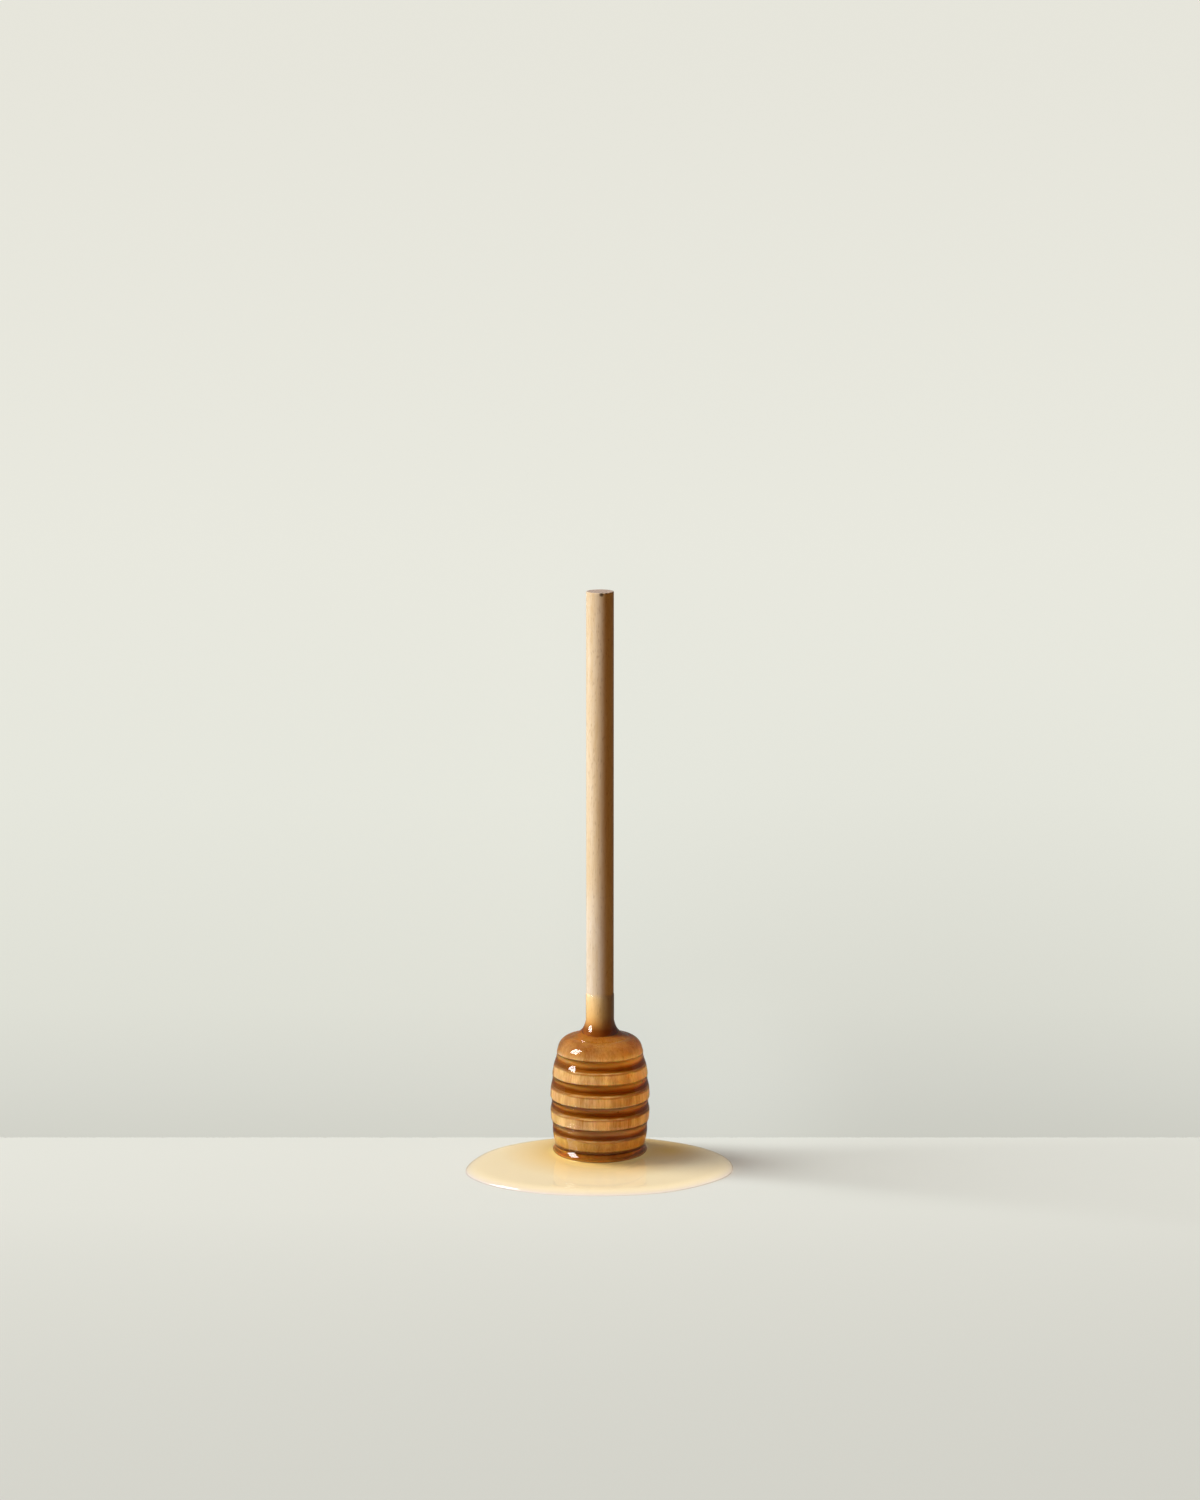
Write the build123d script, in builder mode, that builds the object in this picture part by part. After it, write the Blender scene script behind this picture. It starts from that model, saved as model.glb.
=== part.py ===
"""A wooden honey dipper standing in the small pool of honey that has run off it.

Millimetres, +Z up. The origin is on the dipper's axis, on the surface that the pool lies on.
The handle is a straight sawn dowel, glued into a blind bore in a turned and grooved head.
"""

import os
from math import sqrt

from build123d import *

# Handle: a straight dowel, sawn flat at its top and tapered a little at its buried end
handle_radius = 3.8
handle_free_length = 124.9
handle_top_break = 0.25
tenon_depth = 16.0
tenon_chamfer = 0.6

# Head: a turned barrel with a rounded shoulder and a slightly crowned top
head_height = 34.6
widest_radius = 13.72
widest_height = 16.0
barrel_curve = 56.0
shoulder_radius = 3.8
crown_rise = 0.5

# Grooves: deep square cuts down to a plain core, evenly spaced under the cap
groove_count = 5
groove_width = 3.3
groove_pitch = 6.4
cap_height = 4.7
core_radius = 9.0
rib_edge_radius = 0.35

# Glue between the handle's buried end and the bore
glue_gap = 0.1
glue_bed = 0.3
glue_setback = 0.6

# Honey clinging to the head, and climbing the foot of the handle
head_film = 0.15
groove_sag = 0.22
handle_film = 0.12
wet_length = 12.3
neck_height = 4.5
neck_reach = 4.3
neck_pull_shares = ((0.10, 0.66), (0.16, 0.22))

# Pool of honey that the foot stands in
pool_depth = 1.7
pool_half_width = 37.5
pool_half_length = 27.4
pool_centre_forward = 11.1
rim_radius = 1.2
under_foot = 0.5
foot_clearance = 0.25
meniscus_height = 1.1
meniscus_reach = 1.6
pool_outline_shares = (
    (0.00, 1.00),
    (0.50, 0.87),
    (0.81, 0.58),
    (0.96, 0.22),
    (0.98, -0.06),
    (0.93, -0.30),
    (0.78, -0.57),
    (0.50, -0.86),
    (0.00, -1.00),
    (-0.55, -0.86),
    (-0.86, -0.54),
    (-0.99, -0.16),
    (-0.95, 0.18),
    (-0.80, 0.58),
    (-0.50, 0.87),
)

# How far a cut runs past what it cuts
overrun = 1.0

# Heights above the surface, worked out from the sizes above
foot_height = under_foot
crown_height = foot_height + head_height
shoulder_height = crown_height - crown_rise
tenon_end = crown_height - tenon_depth
bore_floor = tenon_end - glue_bed
bore_radius = handle_radius + glue_gap
groove_tops = [crown_height - cap_height - n * groove_pitch for n in range(groove_count)]


def wall_radius(height, grow=0):
    """The barrel's radius at a height, for the bare wood or for a skin grown on it."""
    off_widest = height - foot_height - widest_height
    return widest_radius - barrel_curve + sqrt((barrel_curve + grow) ** 2 - off_widest**2)


def turned_blank(grow=0):
    """The half section of the barrel before its grooves are cut, with a skin of one thickness."""
    top = shoulder_height + grow
    corner = (wall_radius(top, grow), top)
    foot = (wall_radius(foot_height, grow), foot_height)
    crown_middle = (corner[0] / 2, top + crown_rise * 3 / 4)
    with BuildSketch() as blank:
        with BuildLine():
            wall = ThreePointArc(foot, (widest_radius + grow, foot_height + widest_height), corner)
            crown = ThreePointArc(wall @ 1, crown_middle, (0, crown_height + grow))
            Polyline(crown @ 1, (0, foot_height), wall @ 0)
        make_face()
        fillet(vertices().sort_by_distance(corner)[0], radius=shoulder_radius + grow)
    return blank.sketch


# Head section, with its grooves and the sanded edges of its ribs
with BuildSketch(Plane.XZ) as head_section:
    add(turned_blank())
    for groove_top in groove_tops:
        with Locations((core_radius, groove_top)):
            Rectangle(widest_radius, groove_width, align=(Align.MIN, Align.MAX), mode=Mode.SUBTRACT)
    rib_corners = (
        vertices()
        .filter_by_position(Axis.Y, foot_height, groove_tops[0] + rib_edge_radius)
        .filter_by_position(Axis.X, core_radius, widest_radius, inclusive=(False, True))
    )
    fillet(rib_corners, radius=rib_edge_radius)

# Head, turned from one piece, with the blind bore for the handle
with BuildPart() as head:
    add(head_section.sketch)
    revolve(axis=Axis.Z)
    with Locations((0, 0, crown_height)):
        Hole(bore_radius, depth=crown_height - bore_floor)

# Handle, from its buried end to its sawn top
with BuildPart() as handle:
    with BuildSketch(Plane.XY.offset(tenon_end)):
        Circle(handle_radius)
    extrude(amount=tenon_depth + handle_free_length)
    chamfer(edges().group_by(Axis.Z)[0], length=tenon_chamfer)
    fillet(edges().group_by(Axis.Z)[-1], radius=handle_top_break)

# Glue, which fills the bore round the buried end and stops a little under the crown
with BuildPart() as glue_line:
    with BuildSketch(Plane.XY.offset(bore_floor)):
        Circle(bore_radius)
    extrude(amount=crown_height - glue_setback - bore_floor)
    add(handle.part, mode=Mode.SUBTRACT)

# Honey section: a skin on the blank, a raised neck round the handle, and a dip at each groove
wet_top = crown_height + wet_length
skin_radius = handle_radius + handle_film
neck_radius = skin_radius + neck_reach
crown_share = neck_radius / wall_radius(shoulder_height)
neck_foot = (neck_radius, crown_height - crown_rise * crown_share**2)
neck_pulls = [
    (skin_radius + neck_reach * out, crown_height + neck_height * up)
    for out, up in neck_pull_shares
]
outside = widest_radius + overrun
with BuildSketch(Plane.XZ) as honey_section:
    add(turned_blank(head_film))
    with BuildLine():
        skin = Polyline((0, wet_top), (skin_radius, wet_top), (skin_radius, crown_height + neck_height))
        neck = Bezier(skin @ 1, *neck_pulls, neck_foot)
        Polyline(neck @ 1, (0, shoulder_height), skin @ 0)
    make_face()
    for groove_top in groove_tops:
        groove_foot = groove_top - groove_width
        upper = (wall_radius(groove_top, head_film), groove_top)
        lower = (wall_radius(groove_foot, head_film), groove_foot)
        deepest = ((upper[0] + lower[0]) / 2 - groove_sag, groove_top - groove_width / 2)
        with BuildLine():
            dip = ThreePointArc(upper, deepest, lower)
            Polyline(dip @ 1, (outside, groove_foot), (outside, groove_top), dip @ 0)
        make_face(mode=Mode.SUBTRACT)
    add(head_section.sketch_local, mode=Mode.SUBTRACT)
    with Locations((0, shoulder_height)):
        Rectangle(handle_radius, wet_length + cap_height, align=Align.MIN, mode=Mode.SUBTRACT)

# Honey on the dipper, face to face with the wood
with BuildPart() as honey_coat:
    add(honey_section.sketch)
    revolve(axis=Axis.Z)

# Pool of honey, with the hollow that the foot stands in and the honey drawn up round it
pool_outline = [
    (pool_half_width * across, pool_half_length * along - pool_centre_forward)
    for across, along in pool_outline_shares
]
meniscus_top = pool_depth + meniscus_height
meniscus_radius = wall_radius(meniscus_top, head_film + foot_clearance)
with BuildPart() as honey_pool:
    with BuildSketch(Plane.XY):
        with BuildLine():
            Spline(*pool_outline, periodic=True)
        make_face()
    extrude(amount=pool_depth)
    fillet(faces().sort_by(Axis.Z)[-1].edges(), radius=rim_radius)
    with BuildSketch(Plane.XZ):
        with BuildLine():
            rise = Polyline((0, under_foot), (0, meniscus_top), (meniscus_radius, meniscus_top))
            fall = RadiusArc(rise @ 1, (meniscus_radius + meniscus_reach, pool_depth), -meniscus_reach)
            Polyline(fall @ 1, (meniscus_radius + meniscus_reach, under_foot), rise @ 0)
        make_face()
    revolve(axis=Axis.Z)
    with BuildSketch(Plane.XZ):
        add(turned_blank(head_film + foot_clearance))
    revolve(axis=Axis.Z, mode=Mode.SUBTRACT)

os.makedirs("parts", exist_ok=True)
pieces = {
    "head": head,
    "handle": handle,
    "glue_line": glue_line,
    "honey_coat": honey_coat,
    "honey_pool": honey_pool,
}
for name, piece in pieces.items():
    piece.part.label = name
    export_step(piece.part, f"parts/{name}.step")
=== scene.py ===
# %% [markdown]
# # A honey dipper in its pool of honey
# The object is a turned kitchen tool: a straight dowel, glued into a barrel-shaped head with
# five deep grooves. Honey fills the grooves, coats the head and the foot of the dowel, and has
# run out into a shallow pool. The wooden parts come from the CAD frame as they are, and get
# their wood here. The honey is modelled again, because a liquid's skin is what the eye reads.

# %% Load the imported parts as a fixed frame
import math

import bpy
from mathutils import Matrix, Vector


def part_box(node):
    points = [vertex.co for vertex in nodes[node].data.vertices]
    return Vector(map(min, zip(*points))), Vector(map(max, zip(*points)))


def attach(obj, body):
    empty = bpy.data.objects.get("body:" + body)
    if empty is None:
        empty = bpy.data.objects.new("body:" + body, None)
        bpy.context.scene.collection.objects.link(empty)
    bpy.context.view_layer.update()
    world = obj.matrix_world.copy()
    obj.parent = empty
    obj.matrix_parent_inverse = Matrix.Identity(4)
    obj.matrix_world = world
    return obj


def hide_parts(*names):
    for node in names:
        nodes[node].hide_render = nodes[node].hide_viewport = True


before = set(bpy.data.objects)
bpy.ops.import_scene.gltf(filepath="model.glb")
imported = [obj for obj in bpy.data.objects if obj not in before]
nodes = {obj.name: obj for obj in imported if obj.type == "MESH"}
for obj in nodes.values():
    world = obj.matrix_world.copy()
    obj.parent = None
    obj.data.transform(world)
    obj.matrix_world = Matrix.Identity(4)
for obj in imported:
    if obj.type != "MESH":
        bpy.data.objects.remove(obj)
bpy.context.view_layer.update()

mm = 0.001
scene = bpy.context.scene

# %% [markdown]
# ## The camera
# A camera is a place, a direction and a lens. The long lens and the long distance keep the
# dowel's sides nearly parallel, as a studio photographer would want them. The camera looks down
# a little, so the pool shows as a flat ellipse. A plain free camera is enough: nothing tracks.

# %% Camera
camera_distance = 1.172
camera_height = 0.331
camera_dip = math.radians(10.40)
camera_lens_mm = 103.97

camera_data = bpy.data.cameras.new("studio_camera")
camera_data.lens = camera_lens_mm
camera = bpy.data.objects.new("studio_camera", camera_data)
camera.location = (0, -camera_distance, camera_height)
camera.rotation_euler = (math.pi / 2 - camera_dip, 0, 0)
scene.collection.objects.link(camera)
scene.camera = camera
scene.view_settings.view_transform = "Standard"
print("camera", tuple(camera.location), "lens", camera_data.lens)

# %% [markdown]
# ## Helpers for node trees
# Materials and Geometry Nodes are both trees of nodes. One helper adds any node, with its
# settings, values, links and colour stops. Another turns the hex colours that a maker would note
# down into the linear numbers that a renderer needs. Two more give distances that patterns on a
# round object follow. They read Object coordinates, so a pattern stays on a piece that moves.

# %% Node and colour helpers
def linear(hex_colour):
    """A colour written as sRGB hex, as linear red, green, blue and full alpha."""
    values = [int(hex_colour[n : n + 2], 16) / 255 for n in (1, 3, 5)]
    return [v / 12.92 if v <= 0.04045 else ((v + 0.055) / 1.055) ** 2.4 for v in values] + [1]


def add(tree, kind, inputs=None, stops=(), **settings):
    """Adds a node. Its inputs are values, or links written as (node, name of an output).

    Stops are the (place, hex colour) pairs of a colour ramp, in rising order.
    """
    node = tree.nodes.new(kind)
    for name, value in settings.items():
        setattr(node, name, value)
    for socket, value in (inputs or {}).items():
        if isinstance(value, tuple) and isinstance(value[0], bpy.types.Node):
            tree.links.new(value[0].outputs[value[1]], node.inputs[socket])
        else:
            node.inputs[socket].default_value = value
    if stops:
        elements = node.color_ramp.elements
        while len(elements) < len(stops):
            elements.new(1)
        for element, (place, hex_colour) in zip(elements, stops):
            element.position = place
            element.color = linear(hex_colour)
    return node


def new_material(name):
    """An empty material with its output node."""
    material = bpy.data.materials.new(name)
    material.use_nodes = True
    material.node_tree.nodes.clear()
    output = add(material.node_tree, "ShaderNodeOutputMaterial")
    return material, material.node_tree, output


def from_axis(tree, place):
    """The distance from the dipper's axis."""
    flat = add(tree, "ShaderNodeVectorMath", {0: (place, "Object"), 1: (1, 1, 0)}, operation="MULTIPLY")
    return add(tree, "ShaderNodeVectorMath", {0: (flat, "Vector")}, operation="LENGTH")


def near_spot(tree, place, spot, reach, at_spot, away, core=0.0, **settings):
    """A value that changes from a spot outwards, within a reach in metres."""
    off = add(tree, "ShaderNodeVectorMath", {0: (place, "Object"), 1: spot}, operation="DISTANCE")
    return add(tree, "ShaderNodeMapRange", {
        "Value": (off, "Value"), "From Min": core, "From Max": reach, "To Min": at_spot, "To Max": away,
    }, **settings)


print("mid grey #808080 is", round(linear("#808080")[0], 3), "in linear light")

# %% [markdown]
# ## Groups for light linking
# Light linking lets a lamp reach some things and pass by others, as a photographer does with
# flags and card. The honey, the floor and the wall join their groups once they are made.

# %% Groups for light linking
def lit_group(name, members=()):
    """A group of CAD nodes that a lamp can be linked to."""
    group = bpy.data.collections.new(name)
    for member in members:
        group.objects.link(nodes[member])
    return group


head_only = lit_group("lit_inside_honey", ["head"])
pieces_lit = lit_group("pieces", ["head", "handle", "glue_line"])
ground_lit = lit_group("stage")
mirrors_window = lit_group("mirrors_window")
edge_lit = lit_group("lit_on_left_edge", ["head", "handle"])
print("groups", [g.name for g in (head_only, pieces_lit, ground_lit, mirrors_window, edge_lit)])

# %% [markdown]
# ## One lamp on its stand
# A soft lamp is a bright rectangle that faces its target. Its place is given as a photographer
# would say it: how far round from the camera, how high, and how far off. No lamp shows to the
# camera or through the honey.

# %% Lamp helper
aim = Vector((0, 0, 0.05))
head_aim = Vector((0, 0, 0.018))


def soft_lamp(name, azimuth, elevation, distance, width, height, watts, target, receivers,
              colour=(1, 1, 1)):
    """A rectangular lamp, placed by degrees round from the camera's side and above the floor."""
    turn = math.radians(azimuth)
    climb = math.radians(elevation)
    toward = Vector((math.sin(turn) * math.cos(climb), -math.cos(turn) * math.cos(climb), math.sin(climb)))
    data = bpy.data.lights.new(name, "AREA")
    data.shape = "RECTANGLE"
    data.size = width
    data.size_y = height
    data.energy = watts
    data.color = colour
    lamp = bpy.data.objects.new(name, data)
    lamp.location = target + toward * distance
    lamp.rotation_euler = toward.to_track_quat("Z", "Y").to_euler()
    lamp.visible_camera = False
    lamp.visible_transmission = False
    lamp.light_linking.receiver_collection = receivers
    scene.collection.objects.link(lamp)
    return lamp


print("lamps aim at", round(aim.z / mm), "mm or", round(head_aim.z / mm), "mm up")

# %% [markdown]
# ## The softbox and what honey mirrors of it
# One tall softbox on the left draws the edge from light to shade round the dowel. Honey mirrors a
# lamp as small bright windows, which need a slightly different place and height. So the softbox
# is left out of the mirrors, and a second lamp of the same power is seen in the honey only.

# %% Softbox and its window
key_distance = 3.0
key_watts = 160.0

key = soft_lamp("softbox", -76, 30, key_distance, 1.7, 2.2, key_watts, aim, pieces_lit,
                colour=(0.92, 1.0, 1.18))
key.visible_glossy = False
window = soft_lamp("window_seen_in_honey", -82, 28, key_distance, 1.75, 1.7, key_watts, aim,
                   mirrors_window)
window.visible_diffuse = False
print("softbox at", tuple(round(v, 3) for v in key.location))

# %% [markdown]
# ## Two small lamps for the head
# Light that runs on inside honey warms the wood on the shaded side. A renderer loses most of it,
# so a weak amber lamp stands in. A small blue-white lamp from behind on the left does what a pale
# wall close by does: it lifts the edge of the wood there.

# %% Small lamps
small_distance = 0.5

inner = soft_lamp("light_inside_honey", 55, 15, small_distance, 0.45, 0.45, 3.8, head_aim,
                  head_only, colour=(1.0, 0.71, 0.39))
inner.visible_glossy = False
rim = soft_lamp("light_on_head_edge", -115, 15, small_distance, 0.4, 0.4, 6.2, head_aim,
                edge_lit, colour=(0.45, 1.0, 2.1))
rim.visible_glossy = False
print("small lamps", inner.data.energy, rim.data.energy, "watts")

# %% [markdown]
# ## The lamp for the ground
# The floor and the wall have a large, far lamp of their own, which gives the soft shadow its
# place and length. Only the dipper and its honey block it, so the wall casts no shadow.

# %% Lamp for the ground
ground = soft_lamp("softbox_for_ground", -98, 47, 12.0, 4.9, 7.8, 2000.0, aim, ground_lit,
                   colour=(0.905, 0.965, 0.905))
ground.light_linking.blocker_collection = pieces_lit
print("ground lamp at", tuple(round(v, 3) for v in ground.location))

# %% [markdown]
# ## The room
# The room adds a dim warm light from all round, as wooden furniture would. The camera sees a
# pale backdrop there instead.

# %% Room
room_light = 0.14
room_colour = "#FFA94A"
backdrop_pale = "#E7E7DD"

world = bpy.data.worlds.new("studio_room")
scene.world = world
world.use_nodes = True
world.node_tree.nodes.clear()
rays = add(world.node_tree, "ShaderNodeLightPath")
lit = add(world.node_tree, "ShaderNodeBackground", {"Color": linear(room_colour), "Strength": room_light})
seen = add(world.node_tree, "ShaderNodeBackground", {"Color": linear(backdrop_pale), "Strength": 1.0})
which = add(world.node_tree, "ShaderNodeMixShader", {
    0: (rays, "Is Camera Ray"), 1: (lit, "Background"), 2: (seen, "Background"),
})
add(world.node_tree, "ShaderNodeOutputWorld", {"Surface": (which, "Shader")})
print("room light", room_light, "of", room_colour)

# %% [markdown]
# ## What a ray finds on the stage
# The ground stays pale by a little glow, not by more light on the object. The camera sees it, a
# mirror ray sees a share of it, and a ray through honey sees more, as painted light, because
# honey drinks light both ways. Bounced light sees none, and finds the ground darker and warmer,
# like a table. A mirror ray finds it darker and warmer too, as a painted dimmer reflection.

# %% Rays on the stage
def seen_glow(tree, rays, in_mirror, through):
    """How much glow a ray sees, and whether it finds the ground dimmed, as two nodes."""
    bounced = add(tree, "ShaderNodeMath", {0: (rays, "Diffuse Depth"), 1: 0.5}, operation="GREATER_THAN")
    # A ray bent by honey counts as glossy and as transmission, so the difference leaves true mirrors
    mirror_only = add(tree, "ShaderNodeMath", {
        0: (rays, "Is Glossy Ray"), 1: (rays, "Is Transmission Ray"),
    }, operation="SUBTRACT")
    dimmed = add(tree, "ShaderNodeMath", {
        0: (bounced, "Value"), 1: (mirror_only, "Value"),
    }, operation="MAXIMUM")
    mirrored = add(tree, "ShaderNodeMath", {
        0: (mirror_only, "Value"), 1: in_mirror, 2: (rays, "Is Camera Ray"),
    }, operation="MULTIPLY_ADD")
    looked_at = add(tree, "ShaderNodeMath", {
        0: (rays, "Is Transmission Ray"), 1: through, 2: (mirrored, "Value"),
    }, operation="MULTIPLY_ADD")
    direct = add(tree, "ShaderNodeMath", {0: 1.0, 1: (bounced, "Value")}, operation="SUBTRACT")
    amount = add(tree, "ShaderNodeMath", {
        0: (looked_at, "Value"), 1: (direct, "Value"),
    }, operation="MULTIPLY")
    return amount, dimmed


print("glow is for the camera, mirrors and honey")

# %% [markdown]
# ## Pale board
# Floor and wall are matt pale card, and take real light and shadow. Their albedo and glow are
# painted light: they change slowly along one axis, as light falls off across a studio table, and
# softly round a few spots of painted shadow and light.
# The wall shows only its front, so a view from behind sees past it.

# %% Pale board
# Bounced rays and mirror rays find the ground in this darker, warmer colour, which in mirrors is a painted
# dimmer reflection
bounce_and_mirror_tint = "#8A6A44"


def board(name, axis, near, far, stops, albedos, in_mirror=1.0, through=1.0, shade_through_honey=1.0,
          spots=(), one_sided=False):
    """Matt pale board, with its glow along (share of the way, colour) stops on one axis.

    Where the board is seen through honey, its albedo is multiplied by a share, as painted shade.
    Spots are (centre, reach, share): the glow falls or rises to the share at the centre.
    """
    material, tree, output = new_material(name)
    place = add(tree, "ShaderNodeTexCoord")
    parts = add(tree, "ShaderNodeSeparateXYZ", {0: (place, "Object")})
    along = add(tree, "ShaderNodeMapRange", {"Value": (parts, axis), "From Min": near, "From Max": far})
    glow = add(tree, "ShaderNodeValToRGB", {"Fac": (along, "Result")}, stops=stops)
    rays = add(tree, "ShaderNodeLightPath")
    amount, dimmed = seen_glow(tree, rays, in_mirror, through)
    tone = add(tree, "ShaderNodeMapRange", {
        "Value": (along, "Result"), "To Min": albedos[0], "To Max": albedos[1],
    })
    shaded_through_honey = add(tree, "ShaderNodeMath", {0: (tone, "Result"), 1: shade_through_honey}, operation="MULTIPLY")
    seen_through_honey = add(tree, "ShaderNodeMix", {
        "Factor": (rays, "Is Transmission Ray"), 6: (tone, "Result"), 7: (shaded_through_honey, "Value"),
    }, data_type="RGBA")
    colour = add(tree, "ShaderNodeMix", {
        "Factor": (dimmed, "Value"), 6: (seen_through_honey, 2), 7: linear(bounce_and_mirror_tint),
    }, data_type="RGBA")
    matt = add(tree, "ShaderNodeBsdfDiffuse", {"Color": (colour, 2)})
    for centre, reach, share in spots:
        soft = near_spot(tree, place, centre, reach, share, 1.0, interpolation_type="SMOOTHSTEP")
        amount = add(tree, "ShaderNodeMath", {
            0: (amount, "Value"), 1: (soft, "Result"),
        }, operation="MULTIPLY")
    shine = add(tree, "ShaderNodeEmission", {"Color": (glow, "Color"), "Strength": (amount, "Value")})
    shown = add(tree, "ShaderNodeAddShader", {0: (matt, "BSDF"), 1: (shine, "Emission")})
    if one_sided:
        face = add(tree, "ShaderNodeNewGeometry")
        clear = add(tree, "ShaderNodeBsdfTransparent")
        shown = add(tree, "ShaderNodeMixShader", {
            0: (face, "Backfacing"), 1: (shown, "Shader"), 2: (clear, "BSDF"),
        })
    tree.links.new(shown.outputs["Shader"], output.inputs["Surface"])
    return material


# The floor's glow counts six times through honey, so the pool stays golden in the shade, and seen through
# honey the floor is painted a little darker
floor_board = board("pale board floor", "Y", -0.30, 0.03, [
    (0.0, "#191918"), (0.32, "#191918"), (0.5, "#272724"), (0.62, "#30302E"), (0.75, "#3F3F3C"),
    (1.0, "#3F3F3C"),
], (0.68, 0.775), through=6.0, shade_through_honey=0.90)
wall_behind = 20.6 * mm
# The wall's glow is painted darker towards its foot, as shade in the corner. Its spots are a painted soft
# shadow of the dipper to the right, and a painted brighter patch beside the head.
wall_board = board("pale board wall", "Z", 0.0, 0.30, [
    (0.0, "#CACEC7"), (0.05, "#D0D4CD"), (0.13, "#D8DCD4"), (0.33, "#DFE3DB"), (0.56, "#E2E5DD"),
    (1.0, "#E0E2DA"),
], (0.25, 0.25), in_mirror=0.25, spots=[
    ((0.10, wall_behind, 0.0), 0.15, 0.93), ((0.035, wall_behind, 0.005), 0.05, 1.08),
], one_sided=True)
print("boards", floor_board.name, "and", wall_board.name)

# %% [markdown]
# ## Floor and backdrop
# Two large flat sheets are enough for a stage. The wall's foot draws the horizon, which the
# photograph shows just above the pool.

# %% Floor and backdrop
floor_lift = 0.02 * mm
stage_reach = 3.0
wall_top = 3.0


def plain_sheet(name, corners, material):
    """One flat four-cornered face, used for the stage only."""
    mesh = bpy.data.meshes.new(name)
    mesh.from_pydata(corners, [], [range(len(corners))])
    mesh.materials.append(material)
    sheet = bpy.data.objects.new(name, mesh)
    scene.collection.objects.link(sheet)
    ground_lit.objects.link(sheet)


left, right = -stage_reach, stage_reach
plain_sheet("floor", [
    (left, left, floor_lift), (right, left, floor_lift),
    (right, right, floor_lift), (left, right, floor_lift),
], floor_board)
plain_sheet("backdrop", [
    (left, wall_behind, 0), (right, wall_behind, 0),
    (right, wall_behind, wall_top), (left, wall_behind, wall_top),
], wall_board)

# %% [markdown]
# ## The head's sizes
# These are the CAD head's own sizes in millimetres. Both the wood, which honey browns in the
# grooves, and the honey's skin are worked out from them.

# %% Sizes of the head
foot_z = 0.5
head_height = 34.6
crown_z = foot_z + head_height
crown_rise = 0.5
widest_radius = 13.72
widest_z = foot_z + 16.0
barrel_curve = 56.0
shoulder_radius = 3.8
core_radius = 9.0
cap_height = 4.7
groove_pitch = 6.4
groove_width = 3.3
groove_tops = [crown_z - cap_height - groove_pitch * n for n in range(5)]
dowel_radius = 3.8
print("groove tops", [round(top, 1) for top in groove_tops])

# %% [markdown]
# ## The grain of beech
# Beech is pale and slightly pink, with long fine fibres and short dark flecks. The grain runs
# along the dipper, so each noise is squeezed across it and stretched along it: year bands, cloudy
# patches, fibres and flecks, each at its own size in millimetres. Real fibres are finer than the
# render can show, so they are drawn about ten times as coarse.

# %% Grain of beech
def beech_grain(tree, place, fibre_mm):
    """The four noises of the grain, by name."""
    grains = {}
    for name, across_mm, along_mm, detail, shift in (
        ("bands", 2.6, 70.0, 2.0, 3.0),
        ("clouds", 6.0, 22.0, 3.0, 11.0),
        ("fibres", fibre_mm, 4.5, 4.0, 7.0),
        ("flecks", 0.36, 1.7, 1.0, 19.0),
    ):
        stretch = add(tree, "ShaderNodeMapping", {
            "Vector": (place, "Object"), "Location": (shift, shift, shift),
            "Scale": (1 / (across_mm * mm), 1 / (across_mm * mm), 1 / (along_mm * mm)),
        })
        grains[name] = add(tree, "ShaderNodeTexNoise", {
            "Vector": (stretch, "Vector"), "Scale": 1.0, "Detail": detail, "Roughness": 0.55,
        })
    return grains


def side_grain(tree, grains, pale, dark, fleck):
    """The colour along the grain: bands, clouds and fibres together, with flecks over them."""
    mixed = add(tree, "ShaderNodeMath", {0: (grains["bands"], "Fac"), 1: 0.9}, operation="MULTIPLY")
    for name, share in (("clouds", 0.9), ("fibres", 0.7)):
        mixed = add(tree, "ShaderNodeMath", {
            0: (grains[name], "Fac"), 1: share, 2: (mixed, "Value"),
        }, operation="MULTIPLY_ADD")
    tone = add(tree, "ShaderNodeMapRange", {"Value": (mixed, "Value"), "From Min": 0.98, "From Max": 1.55})
    body = add(tree, "ShaderNodeValToRGB", {"Fac": (tone, "Result")}, stops=[(0.0, dark), (1.0, pale)])
    spots = add(tree, "ShaderNodeMapRange", {
        "Value": (grains["flecks"], "Fac"), "From Min": 0.58, "From Max": 0.76, "To Max": 0.36,
    })
    return add(tree, "ShaderNodeMix", {
        "Factor": (spots, "Result"), 6: (body, "Color"), 7: linear(fleck),
    }, data_type="RGBA")


def with_end_grain(tree, place, parts, colour, fleck, end_grain, top_at):
    """Sawn end grain above a height: pores without a direction, drawn half a millimetre wide to show."""
    pores = add(tree, "ShaderNodeTexNoise", {
        "Vector": (place, "Object"), "Scale": 1 / (0.5 * mm), "Detail": 3.0,
    })
    end = add(tree, "ShaderNodeValToRGB", {"Fac": (pores, "Fac")}, stops=[(0.25, fleck), (0.5, end_grain)])
    on_top = add(tree, "ShaderNodeMath", {0: (parts, "Z"), 1: top_at}, operation="GREATER_THAN")
    return add(tree, "ShaderNodeMix", {
        "Factor": (on_top, "Value"), 6: (colour, 2), 7: (end, "Color"),
    }, data_type="RGBA")


print("grain runs along Z, with flecks 1.7 mm long")

# %% [markdown]
# ## Grooves: soaked wood with painted light and shade
# The wood in the grooves has drunk the most honey, and it also carries painted light and shade.
# Each groove is coloured from its top down along a few colours: a thin line of painted shade
# under the rib above, a painted lit band, and painted shade at the bottom, which reaches onto the
# upper edge of the rib below. The place in a groove is the remainder of the height after the
# pitch, and a slow noise makes the line uneven, as a liquid would.

# %% Brown grooves
full_groove_paint_radius = 11.3
no_groove_paint_radius = 12.3
groove_slack = 0.1
foot_rib_z = 6.0
uneven_line = 0.5
# The rib's edge under painted shade, and its reach each side, as shares of the way down a groove, then the
# strength of that painted shade
edge_share = 1.04
edge_reach = 0.13
edge_painted_shade = 0.8


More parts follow.
